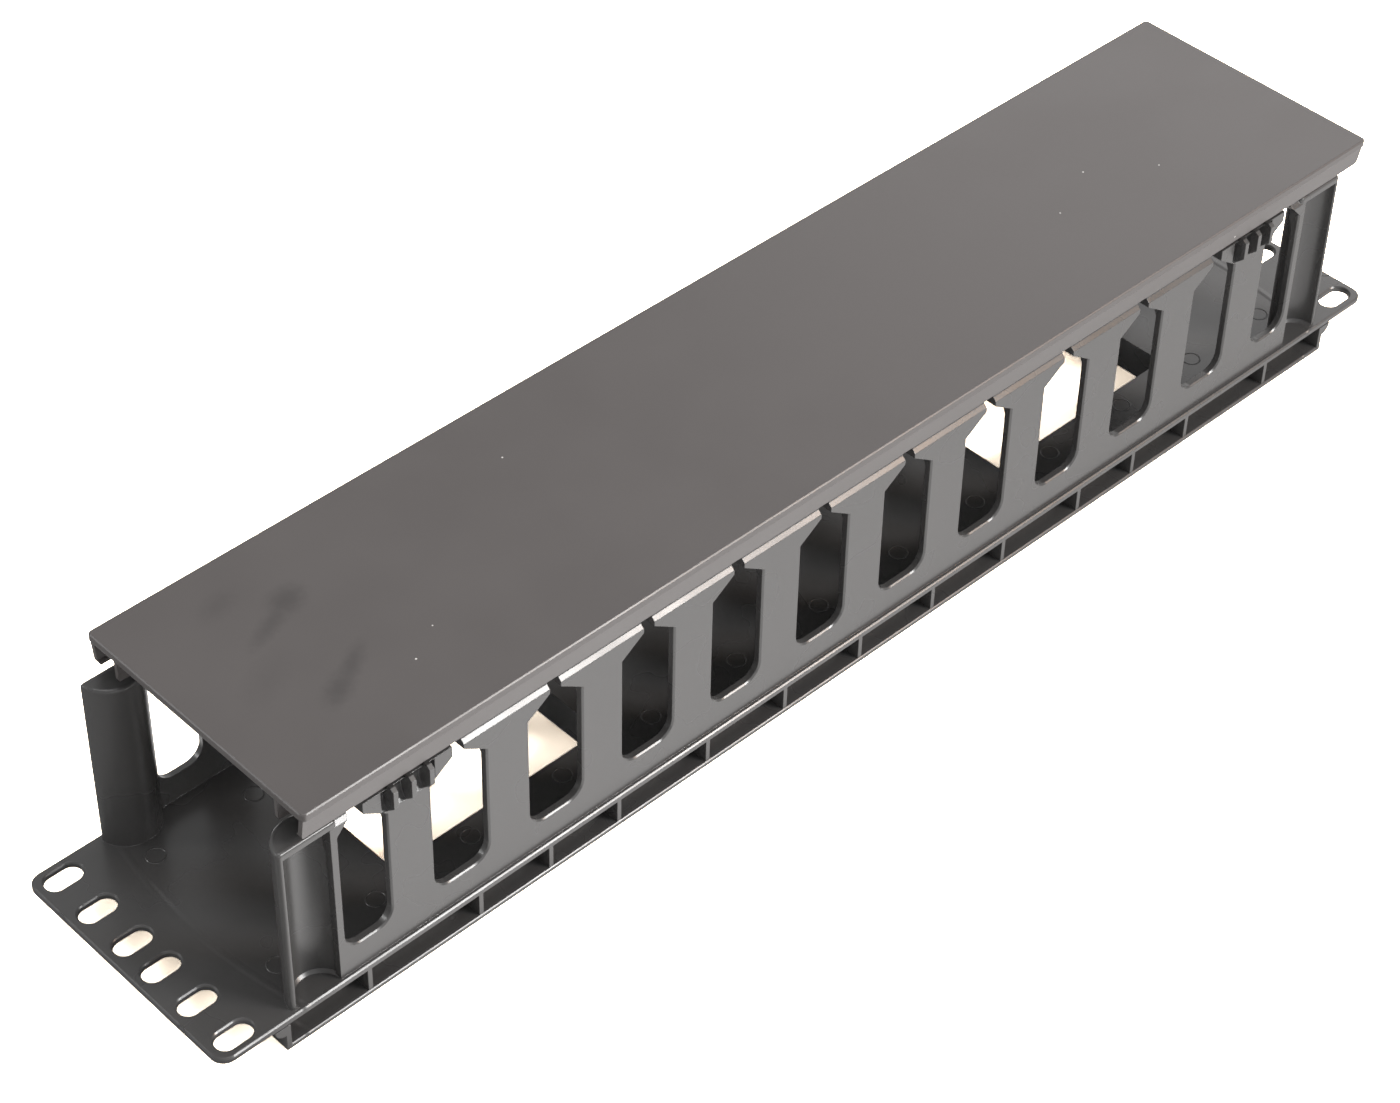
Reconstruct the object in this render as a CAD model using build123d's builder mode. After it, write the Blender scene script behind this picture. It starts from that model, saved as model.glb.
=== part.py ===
from build123d import *
import os

os.makedirs("parts", exist_ok=True)

# Sizes are in millimetres. X runs along the rack width, Y across the two
# rack units, Z out of the rack. Z = 0 is the plane that the back rails rest on.

# Back plate, 482.6 mm long over both flanges as the 19 inch rack standard asks
body_length = 439.6
flange_reach = 21.5                     # each flange past the body
plate_width = 88.1
plate_thickness = 2.4
plate_corner_radius = 4.5
plate_edge_break = 0.5                  # softened edges of the plate and its slots
back_depth = 12.0                       # back rails to the front face of the plate

# Mounting slots in both flanges
slot_inset = 8.75                       # slot centre from the end of the plate
hole_step = 15.875                      # rack hole spacing inside one unit
unit_height = 44.45
mount_slot_length = 12.0
mount_slot_width = 6.8

# Finger walls along both long sides
wall_face = 42.75                       # outer face of a wall, from the centre line
wall_thickness = 2.4
finger_pitch = 34.63
finger_slots = 12
finger_slot_width = 19.4
finger_slot_bottom = 9.6                # above the plate
finger_slot_radius = 5.5
shoulder_height = 51.4                  # where a finger starts to widen into its head
head_height = 56.7                      # where two heads come closest
head_gap = 4.0                          # between two heads
head_corner_radius = 0.9
finger_edge_break = 0.5                 # softened outer rims of the finger slots
bevel_height = 58.3                     # foot of the outer bevel on a head
tongue_setback = 1.2                    # tongue face behind the wall face
head_thickness = 3.8
head_thickening = 48.0                  # where the head starts to thicken inwards
tongue_relief = 1.1                     # inner top edge, cleared for the turning cover

# Latch fingers, the first and last of each wall, pressed to free the cover
latch_ledge_height = 60.4
grip_width = 18.4
grip_height = 8.3
grip_depth = 2.1
grip_centre = 56.1
grip_ribs = 3
grip_rib_pitch = 6.2
grip_rib_thickness = 1.6
grip_rib_reach = 2.6                    # past the wall face
grip_rib_foot = 51.9
grip_rib_slope = 2.4
grip_rib_shoulder = 60.2
grip_rib_top = 61.2

# Half-round end posts that guide the cable bend
post_radius = 9.8
post_wall = 1.8
post_strip = 2.6                        # flat between a trough and the nearest finger slot
post_centre = 206.7
post_height = 60.8
post_cap = 2.4
post_edge_radius = 1.1                  # over the cap
post_rim_radius = 1.2                   # down the outer corners
trough_rim_radius = 0.4
post_foot_slope = 0.9                   # slope where the trough meets the plate
hook_reach = 4.0                        # cap lip over the first finger slot
hook_foot = 54.6                        # where the hook starts to lean out
hook_tip = 59.0

# Cable openings through the back plate
opening_centre = 124.5
opening_length = 78.2
opening_width = 42.0
opening_rim = 1.6

# Stiffening channels and ribs on the back
end_wall = 1.6
end_fillet = 3.5
rail_width = 6.6
rail_thickness = 1.5
rail_edge_break = 0.35                  # along the outer top edge of a rail
web_thickness = 1.6
back_rib = 1.5
back_rib_recess = 0.4                   # back ribs stand behind the plate edge
back_rib_step = 31.7
cross_rib_lift = 1.2                    # cross ribs stay clear of the rack face

# Cover, clipped over the heads of the fingers
cover_length = 432.6
cover_width = 92.0
cover_thickness = 2.4
cover_height = 73.6                     # cover face above the plate
cover_shift = 6.35                      # the cover sits slid towards +X
cover_corner_radius = 1.6
cover_edge_break = 0.45
lip_overhang = 0.7                      # cover edge past the root of a side lip
lip_face = 44.2                         # outer face of a side lip at its foot
lip_thickness = 1.6
lip_bottom = 62.7
lip_end_inset = 0.5
lip_corner_radius = 2.0                 # at the foot of each lip end
bead_radius = 1.1
inner_rib_face = 34.7
inner_rib_thickness = 1.3
inner_rib_bottom = 63.4

# Worked out from the sizes above
plate_length = body_length + 2 * flange_reach
slot_span = plate_length - 2 * slot_inset
plate_top = back_depth
plate_back = plate_top - plate_thickness
wall_inner_face = wall_face - wall_thickness
tongue_face = wall_face - tongue_setback
head_inner_face = wall_face - head_thickness
trough_radius = post_radius - post_wall
post_inner_edge = post_centre - post_radius
wall_length = 2 * (post_inner_edge + post_strip)
first_slot = (finger_slots - 1) / 2 * finger_pitch
latch_place = first_slot - finger_pitch / 2
cover_under = plate_top + cover_height - cover_thickness
lead_in = tongue_setback / 2
web_face = plate_width / 2 - rail_width


def up(height):
    """A height above the plate face, in the part's frame."""
    return plate_top + height


def slot_rows():
    """Y places of the six rack slots in one column."""
    middle = unit_height / 2
    return [side * (middle + step * hole_step) for side in (-1, 1) for step in (-1, 0, 1)]


def align_to(side):
    """Alignment that keeps a shape on the inner side of its place."""
    return Align.MAX if side > 0 else Align.MIN


def slot_side(side, centre):
    """One side of a finger slot's outline, from the foot to the top."""
    edge = centre + side * finger_slot_width / 2
    narrow = centre + side * head_gap / 2
    shoulder = shoulder_height
    head = head_height
    if side * centre > latch_place:
        edge = side * post_inner_edge
        narrow = side * (post_inner_edge - hook_reach)
        shoulder = hook_foot
        head = hook_tip
    return [
        (edge, up(finger_slot_bottom)),
        (edge, up(shoulder)),
        (narrow, up(head)),
        (narrow, up(cover_height)),
    ]


# An end post: a half-round trough, open to the outside, under a rounded cap
with BuildPart() as end_post:
    with BuildSketch(Plane.XY.offset(up(post_height - post_cap))):
        Circle(post_radius)
        Rectangle(2 * post_radius, post_radius, align=(Align.CENTER, Align.MAX), mode=Mode.SUBTRACT)
        fillet(vertices(), post_rim_radius)
    extrude(amount=post_cap)
    fillet(faces().sort_by(Axis.Z)[-1].edges(), post_edge_radius)
    with BuildSketch(Plane.XY.offset(plate_back)):
        Circle(post_radius)
        Circle(trough_radius, mode=Mode.SUBTRACT)
        Rectangle(2 * post_radius, post_radius, align=(Align.CENTER, Align.MAX), mode=Mode.SUBTRACT)
        rim_points = vertices().sort_by(Axis.X)
        fillet([rim_points[0], rim_points[-1]], post_rim_radius)
        fillet(vertices().filter_by_position(Axis.X, -trough_radius, trough_radius), trough_rim_radius)
    extrude(amount=up(post_height - post_cap) - plate_back)
    with BuildSketch(Plane.XZ):
        with BuildLine():
            Polyline(
                (post_radius - post_wall / 2, plate_back),
                (trough_radius - post_foot_slope, plate_back),
                (trough_radius - post_foot_slope, plate_top),
                (trough_radius, up(post_foot_slope)),
                (post_radius - post_wall / 2, up(post_foot_slope)),
                close=True,
            )
        make_face()
    revolve(axis=Axis.Z, revolution_arc=180)


# One finger wall: a section along X, cut by the finger slots
with BuildPart() as finger_wall:
    with BuildSketch(Plane.YZ.offset(-wall_length / 2)):
        with BuildLine():
            Polyline(
                (-wall_face, plate_back),
                (-wall_face, up(bevel_height)),
                (-tongue_face, up(bevel_height) + tongue_setback),
                (-tongue_face, cover_under - lead_in),
                (-tongue_face + lead_in, cover_under),
                (-head_inner_face - tongue_relief, cover_under),
                (-head_inner_face, cover_under - tongue_relief),
                (-head_inner_face, up(shoulder_height)),
                (-wall_inner_face, up(head_thickening)),
                (-wall_inner_face, plate_back),
                close=True,
            )
        make_face()
    extrude(amount=wall_length)

    # the ledge under the cover lip on the two latch fingers
    with Locations(*[(side * latch_place, -wall_face, up(bevel_height)) for side in (-1, 1)]):
        Box(
            finger_pitch,
            tongue_setback + lead_in,
            latch_ledge_height - bevel_height,
            align=(Align.CENTER, Align.MIN, Align.MIN),
        )

    # each slot is a U that closes to a narrow gap between two heads
    for index in range(finger_slots):
        centre = index * finger_pitch - first_slot
        with BuildSketch(Plane.XZ.offset(wall_face + wall_thickness)):
            with BuildLine():
                left = slot_side(-1, centre)
                right = slot_side(1, centre)
                Polyline(*left, *reversed(right), close=True)
            make_face()
            tips = [point for point in vertices() if up(shoulder_height) < point.Y < up(post_height)]
            fillet(vertices().group_by(Axis.Y)[0], finger_slot_radius)
            fillet(tips, head_corner_radius)
        extrude(amount=-2 * (wall_thickness + head_thickness), mode=Mode.SUBTRACT)

    # the rims of the slots are softened on the outer face
    outside = edges().filter_by_position(Axis.Y, -wall_face, -wall_face)
    rims = outside.filter_by_position(Axis.Z, up(finger_slot_bottom), up(shoulder_height))
    chamfer(rims.filter_by_position(Axis.X, -post_inner_edge, post_inner_edge), finger_edge_break)

    # beside the end posts the wall stops at the height of their caps
    with Locations(*[(side * wall_length / 2, -wall_face, up(post_height)) for side in (-1, 1)]):
        Box(
            2 * (hook_reach + post_strip),
            head_thickness + wall_thickness,
            cover_height,
            align=(Align.CENTER, Align.MIN, Align.MIN),
            mode=Mode.SUBTRACT,
        )

    # the finger grips: a scooped face with three upright ribs across it
    scoop_radius = (grip_height**2 / 4 + grip_depth**2) / (2 * grip_depth)
    scoop_axis = -wall_face + grip_depth - scoop_radius
    with Locations(*[(side * latch_place, scoop_axis, up(grip_centre)) for side in (-1, 1)]):
        Cylinder(scoop_radius, grip_width, rotation=(0, 90, 0), mode=Mode.SUBTRACT)
    for side in (-1, 1):
        for step in range(grip_ribs):
            place = side * latch_place + (step - (grip_ribs - 1) / 2) * grip_rib_pitch
            with BuildSketch(Plane.YZ.offset(place - grip_rib_thickness / 2)):
                with BuildLine():
                    Polyline(
                        (-wall_face + grip_depth + lead_in / 2, up(grip_rib_foot)),
                        (-wall_face, up(grip_rib_foot)),
                        (-wall_face - grip_rib_reach, up(grip_rib_foot + grip_rib_slope)),
                        (-wall_face - grip_rib_reach, up(grip_rib_shoulder)),
                        (-wall_face - grip_rib_reach / 2, up(grip_rib_top)),
                        (-wall_face + grip_depth + lead_in / 2, up(grip_rib_top)),
                        close=True,
                    )
                make_face()
            extrude(amount=grip_rib_thickness)

    for side in (-1, 1):
        with Locations((side * post_centre, -wall_face, 0)):
            add(end_post.part)


# The base: back plate, stiffening channels, finger walls and posts in one moulding
with BuildPart() as duct_base:
    with BuildSketch(Plane.XY.offset(plate_back)):
        RectangleRounded(plate_length, plate_width, plate_corner_radius)
        slot_places = [(side * slot_span / 2, row) for side in (-1, 1) for row in slot_rows()]
        with Locations(*slot_places):
            SlotOverall(mount_slot_length, mount_slot_width, mode=Mode.SUBTRACT)
        with Locations((-opening_centre, 0), (opening_centre, 0)):
            Rectangle(opening_length, opening_width, mode=Mode.SUBTRACT)
    extrude(amount=plate_thickness)
    rims = edges().filter_by(Plane.XY)
    between = rims.filter_by_position(Axis.X, -body_length / 2, body_length / 2)
    inside = between.filter_by_position(Axis.Y, -opening_width, opening_width)
    chamfer(rims - inside, plate_edge_break)

    # the webs and rails of the two channels, closed at both ends
    with BuildSketch(Plane.YZ.offset(-body_length / 2)):
        for side in (-1, 1):
            with BuildLine():
                Polyline(
                    (side * web_face, 0),
                    (side * plate_width / 2, 0),
                    (side * plate_width / 2, rail_thickness - rail_edge_break),
                    (side * (plate_width / 2 - rail_edge_break), rail_thickness),
                    (side * web_face, rail_thickness),
                    close=True,
                )
            make_face()
    extrude(amount=body_length)
    with BuildSketch():
        with Locations((0, web_face - web_thickness / 2), (0, web_thickness / 2 - web_face)):
            Rectangle(body_length, web_thickness)
        end_place = body_length / 2 - end_wall / 2
        with Locations((-end_place, 0), (end_place, 0)):
            Rectangle(end_wall, plate_width)
        with Locations((-opening_centre, 0), (opening_centre, 0)):
            Rectangle(opening_length + 2 * opening_rim, opening_width + 2 * opening_rim)
            Rectangle(opening_length, opening_width, mode=Mode.SUBTRACT)
    extrude(amount=plate_back)

    # cross ribs, spaced evenly in the middle and in thirds along the openings
    middle = [step * back_rib_step for step in range(-2, 3)]
    beside = [
        side * opening_centre + step * opening_length / 3
        for side in (-1, 1)
        for step in (-1, 0, 1)
    ]
    with BuildSketch():
        for side in (-1, 1):
            for place in middle + beside + [-first_slot, first_slot]:
                with Locations((place, side * web_face)):
                    Rectangle(back_rib, rail_width - back_rib_recess, align=(Align.CENTER, align_to(-side)))
    extrude(amount=plate_back)
    with BuildSketch(Plane.XY.offset(cross_rib_lift)):
        for place in middle + [-first_slot, first_slot]:
            with Locations((place, 0)):
                Rectangle(back_rib, 2 * web_face - web_thickness)
        for side in (-1, 1):
            for place in beside:
                with Locations((place, side * opening_width / 2)):
                    Rectangle(
                        back_rib,
                        web_face - opening_width / 2 - web_thickness / 2,
                        align=(Align.CENTER, align_to(-side)),
                    )
    extrude(amount=plate_back - cross_rib_lift)

    # a fillet where each end wall meets the overhanging flange
    for side in (-1, 1):
        corner = side * body_length / 2
        with BuildSketch(Plane.XZ.offset(-plate_width / 2)):
            with BuildLine():
                Line((corner, plate_back), (corner + side * end_fillet, plate_back))
                RadiusArc(
                    (corner + side * end_fillet, plate_back),
                    (corner, plate_back - end_fillet),
                    side * end_fillet,
                )
                Line((corner, plate_back - end_fillet), (corner, plate_back))
            make_face()
        extrude(amount=plate_width)

    add(finger_wall.part)
    add(finger_wall.part.mirror(Plane.XZ))

duct_base.part.label = "duct_base"
export_step(duct_base.part, "parts/duct_base.step")


# The cover: a flat plate with two hooked side lips and two inner stiffening ribs
with BuildPart() as cover:
    with BuildSketch(Plane.XY.offset(cover_under)):
        with Locations((cover_shift, 0)):
            RectangleRounded(cover_length, cover_width, cover_corner_radius)
    extrude(amount=cover_thickness)
    chamfer(faces().sort_by(Axis.Z)[-1].edges(), cover_edge_break)
    lip_length = cover_length - 2 * lip_end_inset
    with BuildSketch(Plane.YZ.offset(cover_shift - lip_length / 2)):
        for side in (-1, 1):
            with BuildLine():
                Polyline(
                    (side * (cover_width / 2 - lip_overhang), cover_under),
                    (side * lip_face, up(lip_bottom + bead_radius)),
                    (side * (lip_face - lip_thickness), up(lip_bottom + bead_radius)),
                    (side * (cover_width / 2 - lip_overhang - lip_thickness), cover_under),
                    close=True,
                )
            make_face()
            with Locations((side * (lip_face - bead_radius), up(lip_bottom + bead_radius))):
                Circle(bead_radius)
            with Locations((side * inner_rib_face, cover_under)):
                Rectangle(
                    inner_rib_thickness,
                    cover_height - cover_thickness - inner_rib_bottom,
                    align=(align_to(side), Align.MAX),
                )
    extrude(amount=lip_length)

    # the bottom corners of the lips are rounded at both ends
    with BuildSketch(Plane.XZ.offset(-cover_width)):
        for side in (-1, 1):
            lip_end = cover_shift + side * lip_length / 2
            with Locations((lip_end, up(lip_bottom))):
                Rectangle(2 * lip_corner_radius, 2 * lip_corner_radius)
            with Locations((lip_end - side * lip_corner_radius, up(lip_bottom + lip_corner_radius))):
                Circle(lip_corner_radius, mode=Mode.SUBTRACT)
    extrude(amount=2 * cover_width, mode=Mode.SUBTRACT)

cover.part.label = "cover"
export_step(cover.part, "parts/cover.step")
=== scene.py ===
import math

import bpy
from mathutils import Matrix, Vector


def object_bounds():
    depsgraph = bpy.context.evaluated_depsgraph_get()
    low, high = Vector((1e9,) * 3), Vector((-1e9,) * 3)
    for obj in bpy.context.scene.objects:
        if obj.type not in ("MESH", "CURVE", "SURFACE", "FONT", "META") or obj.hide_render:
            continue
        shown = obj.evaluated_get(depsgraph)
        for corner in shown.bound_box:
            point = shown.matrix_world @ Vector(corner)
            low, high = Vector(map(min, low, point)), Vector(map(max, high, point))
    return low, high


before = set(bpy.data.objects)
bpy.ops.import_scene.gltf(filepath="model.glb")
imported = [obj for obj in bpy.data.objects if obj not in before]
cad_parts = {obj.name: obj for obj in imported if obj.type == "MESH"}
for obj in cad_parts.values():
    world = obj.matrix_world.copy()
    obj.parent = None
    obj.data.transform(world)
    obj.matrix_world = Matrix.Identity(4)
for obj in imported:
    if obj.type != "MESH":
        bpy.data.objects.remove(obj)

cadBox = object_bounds()
scene = bpy.context.scene
scene.view_settings.view_transform = "Standard"


def report(stage):
    print("stage:", stage)


# Camera, solved from the rack slots and plate edges in the photograph
camera = {
    "place": (-0.55265, -0.53231, 0.71846),    # metres, in the frame
    "turn": -43.584,                           # degrees round Z from the front
    "climb": 41.827,                           # degrees above the horizon
    "roll": 0.618,
    "focus": 3408.6,                           # pixels of the 1400 x 1103 photograph
    "centre": (650.3, 508.1),                  # principal point in those pixels
    "photo": (1400, 1103),
    "sensor": 36,                              # millimetres
    "near": 0.05,
    "far": 20,
}


# Direction from the object to a place seen at this turn and climb
def towards(turn, climb):
    turn, climb = math.radians(turn), math.radians(climb)
    return Vector((math.sin(turn) * math.cos(climb), -math.cos(turn) * math.cos(climb), math.sin(climb)))


def addCamera(facts):
    roll = math.radians(facts["roll"])
    back = towards(facts["turn"], facts["climb"])
    right = Vector((0, 0, 1)).cross(back).normalized()
    up = back.cross(right)
    tiltedRight = math.cos(roll) * right + math.sin(roll) * up
    tiltedUp = math.cos(roll) * up - math.sin(roll) * right
    wide, high = facts["photo"]
    data = bpy.data.cameras.new("photoCamera")
    data.sensor_width = facts["sensor"]
    data.lens = facts["sensor"] * facts["focus"] / wide
    data.shift_x = (wide / 2 - facts["centre"][0]) / wide
    data.shift_y = (facts["centre"][1] - high / 2) / wide
    data.clip_start = facts["near"]
    data.clip_end = facts["far"]
    eye = bpy.data.objects.new("photoCamera", data)
    scene.collection.objects.link(eye)
    turned = Matrix((tiltedRight, tiltedUp, back)).transposed().to_4x4()
    eye.matrix_world = Matrix.Translation(Vector(facts["place"])) @ turned
    scene.camera = eye


addCamera(camera)
report("camera")


# A small kit for shader graphs
class Graph:
    def __init__(self, name):
        self.material = bpy.data.materials.new(name)
        self.material.use_nodes = True
        self.nodes = self.material.node_tree.nodes
        self.links = self.material.node_tree.links
        self.nodes.clear()

    def plug(self, socket, value):
        if isinstance(value, bpy.types.NodeSocket):
            self.links.new(value, socket)
        else:
            socket.default_value = value

    # sockets by place first, then by name, with _ for a space
    def add(self, kind, *values, **sockets):
        node = self.nodes.new("ShaderNode" + kind)
        for place, value in enumerate(values):
            self.plug(node.inputs[place], value)
        for key, value in sockets.items():
            self.plug(node.inputs[key.replace("_", " ")], value)
        return node

    def math(self, does, *values, clamp=False):
        node = self.nodes.new("ShaderNodeMath")
        node.operation = does
        node.use_clamp = clamp
        for place, value in enumerate(values):
            self.plug(node.inputs[place], value)
        return node.outputs[0]

    # only for sums whose answer is a number: length, distance, dot product
    def vectorMath(self, does, *values):
        node = self.nodes.new("ShaderNodeVectorMath")
        node.operation = does
        for place, value in enumerate(values):
            self.plug(node.inputs[place], value)
        return node.outputs["Value"]

    # value between low and high, eased to run from least to most
    def ramp(self, value, low, high, least=0.0, most=1.0):
        node = self.nodes.new("ShaderNodeMapRange")
        node.interpolation_type = "SMOOTHSTEP"
        for place, entry in enumerate((value, low, high, least, most)):
            self.plug(node.inputs[place], entry)
        return node.outputs[0]

    def noise(self, vector, scale, detail):
        return self.add("TexNoise", Vector=vector, Scale=scale, Detail=detail).outputs["Fac"]

    def tint(self, factor, first, second):
        node = self.nodes.new("ShaderNodeMix")
        node.data_type = "RGBA"
        self.plug(node.inputs[0], factor)
        self.plug(node.inputs[6], first)
        self.plug(node.inputs[7], second)
        return node.outputs[2]

    def finish(self, shader):
        out = self.nodes.new("ShaderNodeOutputMaterial")
        self.links.new(shader, out.inputs["Surface"])
        return self.material


# Witness marks of the ejector pins on the back plate, and its fold line
plateMarks = {
    "pitch": 0.03463,                          # from pin to pin along X
    "shift": -0.0012,                          # of the whole row along X
    "row": 0.0270,                             # rows beside the centre line
    "radius": 0.0029,
    "line": 0.00030,
    "depth": 0.00016,
    "face": 0.0123,                            # only up to just above the plate face
    "fold": 0.2180,                            # on the centre line, bowed in towards the corners
    "foldBow": 3.0,                            # metres in per square metre
    "foldLine": 0.0016,
    "foldDepth": 0.00011,
}


# Height of the pin rings and the fold line on the plate face
def witnessMarks(graph, place, facts):
    split = graph.add("SeparateXYZ", place)
    across, along, height = split.outputs[0], split.outputs[1], split.outputs[2]
    steps = graph.math("DIVIDE", graph.math("SUBTRACT", across, facts["shift"]), facts["pitch"])
    part = graph.math("SUBTRACT", steps, graph.math("ROUND", steps))
    offCentre = graph.math("MULTIPLY", part, facts["pitch"])
    offRow = graph.math("SUBTRACT", graph.math("ABSOLUTE", along), facts["row"])
    centreSquare = graph.math("MULTIPLY", offCentre, offCentre)
    rowSquare = graph.math("MULTIPLY", offRow, offRow)
    reach = graph.math("SQRT", graph.math("ADD", centreSquare, rowSquare))
    offRing = graph.math("ABSOLUTE", graph.math("SUBTRACT", reach, facts["radius"]))
    ring = graph.ramp(offRing, 0.0, facts["line"], 1.0, 0.0)
    bowed = graph.math("MULTIPLY", graph.math("MULTIPLY", along, along), facts["foldBow"])
    crease = graph.math("SUBTRACT", facts["fold"], bowed)
    offFold = graph.math("ABSOLUTE", graph.math("SUBTRACT", graph.math("ABSOLUTE", across), crease))
    fold = graph.ramp(offFold, 0.0, facts["foldLine"], 1.0, 0.0)
    low = graph.math("LESS_THAN", height, facts["face"])
    rings = graph.math("MULTIPLY", ring, facts["depth"])
    folds = graph.math("MULTIPLY", fold, facts["foldDepth"])
    return graph.math("MULTIPLY", graph.math("ADD", rings, folds), low)


# Finger smudges and dust on the cover; a smudge is x, y, half length, half width, turn, strength
coverMarks = {
    "smudges": (
        (-0.1630, 0.0195, 0.0082, 0.0060, 20, 0.9),
        (-0.1715, 0.0150, 0.0135, 0.0036, 25, 0.7),
        (-0.1738, -0.0165, 0.0090, 0.0048, 32, 0.9),
        (-0.1665, -0.0122, 0.0115, 0.0036, 32, 0.8),
        (-0.1780, 0.0302, 0.0080, 0.0050, 20, 0.35),
        (-0.1860, -0.0010, 0.0160, 0.0070, 35, 0.25),
    ),
    "smudgeDeep": 0.001,                       # keeps them on the top face
    "smudgeEdge": (0.35, 1.5),                 # where one starts to fade and ends
    "raggedCell": 420,                         # cells a metre
    "raggedDetail": 4.0,
    "ragged": 0.6,                             # how uneven its edge is
    "smudgeTint": (0.016, 0.014, 0.014, 1),
    "smudgeShade": 0.42,
    "smudgeDull": 0.06,                        # added roughness
    "dustCell": 62,                            # cells a metre
    "dustSize": 0.018,                         # of a cell
    "dustShare": 0.80,                         # of the cells stay clean
    "dustTint": (0.75, 0.73, 0.70, 1),
    "specks": (                                # larger dust; x, y, radius
        (-0.1518, -0.0217, 0.00030),
        (-0.1403, -0.0149, 0.00022),
        (0.1214, -0.0062, 0.00024),
        (0.1427, 0.0032, 0.00028),
        (0.1631, -0.0105, 0.00026),
    ),
}


# Soft long patches where fingers touched the cover
def smudgeMask(graph, place, facts):
    uneven = graph.noise(place, facts["raggedCell"], facts["raggedDetail"])
    ragged = graph.math("MULTIPLY", uneven, facts["ragged"])
    total = None
    for x, y, long, wide, turn, strength in facts["smudges"]:
        mapping = graph.nodes.new("ShaderNodeMapping")
        mapping.vector_type = "TEXTURE"
        graph.plug(mapping.inputs["Vector"], place)
        mapping.inputs["Location"].default_value = (x, y, cadBox[1][2])
        mapping.inputs["Rotation"].default_value = (0, 0, math.radians(turn))
        mapping.inputs["Scale"].default_value = (long, wide, facts["smudgeDeep"])
        far = graph.math("ADD", graph.vectorMath("LENGTH", mapping.outputs[0]), ragged)
        patch = graph.ramp(far, *facts["smudgeEdge"], strength, 0.0)
        total = patch if total is None else graph.math("MAXIMUM", total, patch)
    return total


# Fine dust in some of the cells, and the larger specks
def dustMask(graph, place, facts):
    cells = graph.add("TexVoronoi", Vector=place, Scale=facts["dustCell"])
    draw = graph.add("SeparateXYZ", cells.outputs["Color"]).outputs[0]
    pick = graph.math("GREATER_THAN", draw, facts["dustShare"])
    near = graph.math("LESS_THAN", cells.outputs["Distance"], facts["dustSize"])
    total = graph.math("MULTIPLY", pick, near)
    for x, y, radius in facts["specks"]:
        away = graph.vectorMath("DISTANCE", place, (x, y, cadBox[1][2]))
        total = graph.math("MAXIMUM", total, graph.math("LESS_THAN", away, radius))
    return total


# What both plastics share
satin = {
    "edgeSamples": 6,
    "edgeBend": (0.80, 0.995),                 # how far a normal turns at an edge where a highlight is painted
    # painted highlight: how much paler the edges are made
    "paintedEdgeHighlight": 0.4,
    "mottleDetail": 2.0,
    "mottlePale": 0.45,
    "mottleRange": (0.3, 0.7),
    "grainDetail": 2.0,
    "grainPale": 0.12,
}

# Satin black plastic of the base moulding
basePlastic = {
    "colour": (0.060, 0.059, 0.0585, 1),
    "pale": (0.087, 0.085, 0.084, 1),          # painted edge highlights and mottling
    "sheen": 0.75,                             # specular level
    "rough": 0.28,
    "roughSpread": 0.03,
    "grain": 2500,                             # spark grain, cells a metre
    "grainDepth": 0.0000006,
    "mottle": 45,
    "edgeRound": 0.0003,
    "edgePolish": 0.08,                        # how much smoother the edges with the painted highlight are
}

# The cover's sheet is the same plastic with a softer sheen
coverPlastic = {
    "colour": (0.091, 0.083, 0.081, 1),
    # colour for painted edge highlights and mottling
    "pale": (0.125, 0.115, 0.112, 1),
    "sheen": 0.62,
    "rough": 0.33,
    "roughSpread": 0.03,
    "grain": 2500,
    "grainDepth": 0.0000006,
    "mottle": 28,
    "edgeRound": 0.0003,
    "edgePolish": 0.12,
}


def makePlastic(name, facts, marks=None, touched=None):
    graph = Graph(name)
    place = graph.add("TexCoord").outputs["Object"]
    rounded = graph.add("Bevel", Radius=facts["edgeRound"])
    rounded.samples = satin["edgeSamples"]
    flat = graph.add("NewGeometry").outputs["Normal"]
    facing = graph.vectorMath("DOT_PRODUCT", rounded.outputs[0], flat)
    # edge mask for the painted highlight: where the rounded normal turns away from the flat one
    edge = graph.ramp(facing, *satin["edgeBend"], 1.0, 0.0)

    mottle = graph.noise(place, facts["mottle"], satin["mottleDetail"])
    fine = graph.noise(place, facts["grain"], satin["grainDetail"])
    mottlePale = graph.math("MULTIPLY", mottle, satin["mottlePale"])
    pale = graph.math("ADD", mottlePale, graph.math("MULTIPLY", fine, satin["grainPale"]))
    # painted highlight: the edges are made paler
    pale = graph.math("ADD", pale, graph.math("MULTIPLY", edge, satin["paintedEdgeHighlight"]), clamp=True)
    colour = graph.tint(pale, facts["colour"], facts["pale"])
    smoothest = facts["rough"] - facts["roughSpread"]
    roughest = facts["rough"] + facts["roughSpread"]
    rough = graph.ramp(mottle, *satin["mottleRange"], smoothest, roughest)
    rough = graph.math("SUBTRACT", rough, graph.math("MULTIPLY", edge, facts["edgePolish"]))
    height = graph.math("MULTIPLY", fine, facts["grainDepth"])
    if marks:
        height = graph.math("ADD", height, witnessMarks(graph, place, marks))
    if touched:
        smudge = smudgeMask(graph, place, touched)
        shade = graph.math("MULTIPLY", smudge, touched["smudgeShade"])
        colour = graph.tint(shade, colour, touched["smudgeTint"])
        rough = graph.math("ADD", rough, graph.math("MULTIPLY", smudge, touched["smudgeDull"]))
        colour = graph.tint(dustMask(graph, place, touched), colour, touched["dustTint"])
    bump = graph.add("Bump", Strength=1.0, Distance=1.0, Height=height, Normal=rounded.outputs[0])
    skin = graph.add("BsdfPrincipled", Base_Color=colour, Roughness=rough, Normal=bump.outputs[0])
    skin.inputs["Specular IOR Level"].default_value = facts["sheen"]
    return graph.finish(skin.outputs[0])


def paint(node, material):
    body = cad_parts[node]
    body.data.materials.clear()
    body.data.materials.append(material)


paint("duct_base", makePlastic("basePlastic", basePlastic, marks=plateMarks))
paint("cover", makePlastic("coverPlastic", coverPlastic, touched=coverMarks))
report("finishes")
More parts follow.
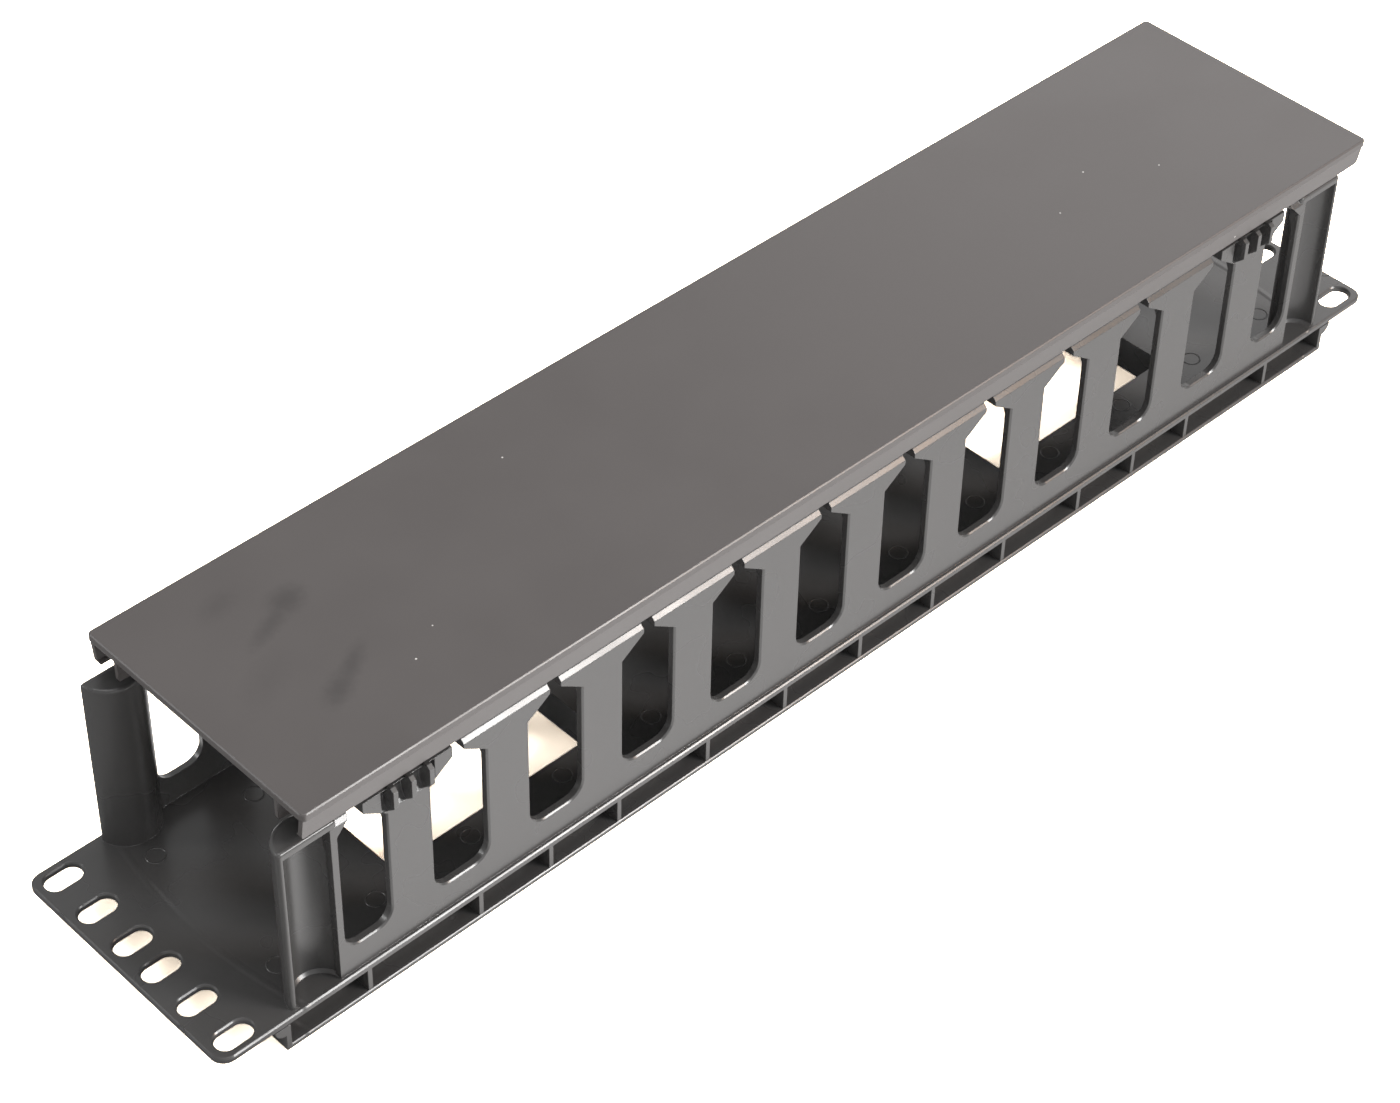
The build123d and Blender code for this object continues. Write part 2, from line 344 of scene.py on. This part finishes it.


# White floor that keeps a faint warm shadow; the mirror values are a painted reflection of it in the
# plastic: a glow that only glossy rays see, with its strength set by place
floorSheet = {
    "size": 8.0,
    "colour": (0.80, 0.80, 0.80, 1),
    "seenColour": (7.8, 6.9, 5.7, 1),          # what the camera sees of the light on it
    "seenGlow": (0.04, 0.02, 0.01, 1),         # warm tone left in the shadow
    "paintedReflectionGlow": (0.82, 0.81, 0.80, 1),       # painted reflection of a white background in the satin sheen
    "mirrorFall": 2.3,                         # loss a metre towards +X
    "mirrorLeast": 0.4,
    "mirrorMost": 1.2,
    "mirrorEnd": (-0.24, -0.19),               # dimmer past the left end
    "paintedReflectionShade": (0.30, 0.30, 0.30, 1),        # painted shade on the reflected floor there
    "mirrorBeside": (0.038, 0.050),            # none in the shadow under the tray
}


def addFloor(facts):
    half = facts["size"] / 2
    mesh = bpy.data.meshes.new("floor")
    corners = [(-half, -half, 0), (half, -half, 0), (half, half, 0), (-half, half, 0)]
    mesh.from_pydata(corners, [], [(0, 1, 2, 3)])
    floor = bpy.data.objects.new("floor", mesh)
    scene.collection.objects.link(floor)
    graph = Graph("floorWhite")
    plain = graph.add("BsdfDiffuse", Color=facts["colour"])
    seen = graph.add("BsdfDiffuse", Color=facts["seenColour"])
    glow = graph.add("Emission", Color=facts["seenGlow"], Strength=1.0)
    both = graph.add("AddShader", seen.outputs[0], glow.outputs[0])
    place = graph.add("SeparateXYZ", graph.add("TexCoord").outputs["Object"])
    # painted reflection: a glow seen only by glossy rays, weaker towards +X, dimmer past the left end
    # and none under the tray
    fall = graph.math("MULTIPLY", place.outputs["X"], -facts["mirrorFall"])
    lengthwise = graph.math("MAXIMUM", graph.math("ADD", fall, 1.0), facts["mirrorLeast"])
    lengthwise = graph.math("MINIMUM", lengthwise, facts["mirrorMost"])
    beforeEnd = graph.ramp(place.outputs["X"], *facts["mirrorEnd"])
    beside = graph.ramp(graph.math("ABSOLUTE", place.outputs["Y"]), *facts["mirrorBeside"])
    strength = graph.math("MULTIPLY", graph.math("MULTIPLY", lengthwise, beforeEnd), beside)
    white = graph.add("Emission", Color=facts["paintedReflectionGlow"], Strength=strength)
    # painted shade: the floor that glossy rays see is darker past the left end
    sheet = graph.add("BsdfDiffuse", Color=graph.tint(beforeEnd, facts["paintedReflectionShade"], facts["colour"]))
    floorWithPaintedReflection = graph.add("AddShader", sheet.outputs[0], white.outputs[0])
    path = graph.add("LightPath")
    sheen = graph.add("MixShader", path.outputs["Is Glossy Ray"], plain.outputs[0], floorWithPaintedReflection.outputs[0])
    mix = graph.add("MixShader", path.outputs["Is Camera Ray"], sheen.outputs[0], both.outputs[0])
    mesh.materials.append(graph.finish(mix.outputs[0]))


addFloor(floorSheet)
report("floor")


# Plain soft studio light: a dim white room and softboxes round the tray; far and size in metres
studio = {
    "room": 0.48,
    "softboxes": {
        "key": {
            "turn": 26, "climb": 32, "far": 2.2, "size": (0.62, 0.50),
            "glow": 30, "colour": (1.0, 1.0, 1.0),
        },
        "warmCard": {
            "turn": 38, "climb": 32, "far": 2.2, "size": (0.31, 0.50),
            "glow": 8.5, "colour": (1.0, 0.56, 0.28),
        },
        "left": {
            "turn": -128, "climb": 31, "far": 2.2, "size": (0.32, 0.42),
            "glow": 14, "colour": (1.0, 1.0, 1.0),
        },
        "fill": {
            "turn": -25, "climb": 20, "far": 1.2, "size": (0.60, 0.60),
            "glow": 0.7, "colour": (1.0, 1.0, 1.0),
        },
        "back": {
            "turn": 113, "climb": 29, "far": 2.4, "size": (1.80, 0.90),
            "glow": 1.35, "colour": (1.0, 0.98, 0.97),
        },
        "overhead": {
            "turn": 0, "climb": 88, "far": 2.0, "size": (1.20, 1.20),
            "glow": 2.1, "colour": (1.0, 1.0, 1.0),
        },
    },
}


def addRoom(strength):
    world = bpy.data.worlds.new("studio")
    world.use_nodes = True
    nodes, links = world.node_tree.nodes, world.node_tree.links
    nodes.clear()
    out = nodes.new("ShaderNodeOutputWorld")
    seen = nodes.new("ShaderNodeBackground")
    seen.inputs[0].default_value = (1, 1, 1, 1)
    lit = nodes.new("ShaderNodeBackground")
    lit.inputs[0].default_value = (1, 1, 1, 1)
    lit.inputs[1].default_value = strength
    path = nodes.new("ShaderNodeLightPath")
    mix = nodes.new("ShaderNodeMixShader")
    links.new(path.outputs["Is Camera Ray"], mix.inputs[0])
    links.new(lit.outputs[0], mix.inputs[1])
    links.new(seen.outputs[0], mix.inputs[2])
    links.new(mix.outputs[0], out.inputs["Surface"])
    scene.world = world


def addSoftbox(name, facts):
    out = towards(facts["turn"], facts["climb"])
    wide, high = facts["size"]
    data = bpy.data.lights.new(name, "AREA")
    data.shape = "RECTANGLE"
    data.size = wide
    data.size_y = high
    data.energy = facts["glow"] * math.pi * wide * high
    data.color = facts["colour"]
    lamp = bpy.data.objects.new(name, data)
    lamp.location = out * facts["far"]
    lamp.rotation_euler = out.to_track_quat("Z", "Y").to_euler()
    lamp.visible_camera = False
    scene.collection.objects.link(lamp)


addRoom(studio["room"])
for name, facts in studio["softboxes"].items():
    addSoftbox(name, facts)
report("studio")
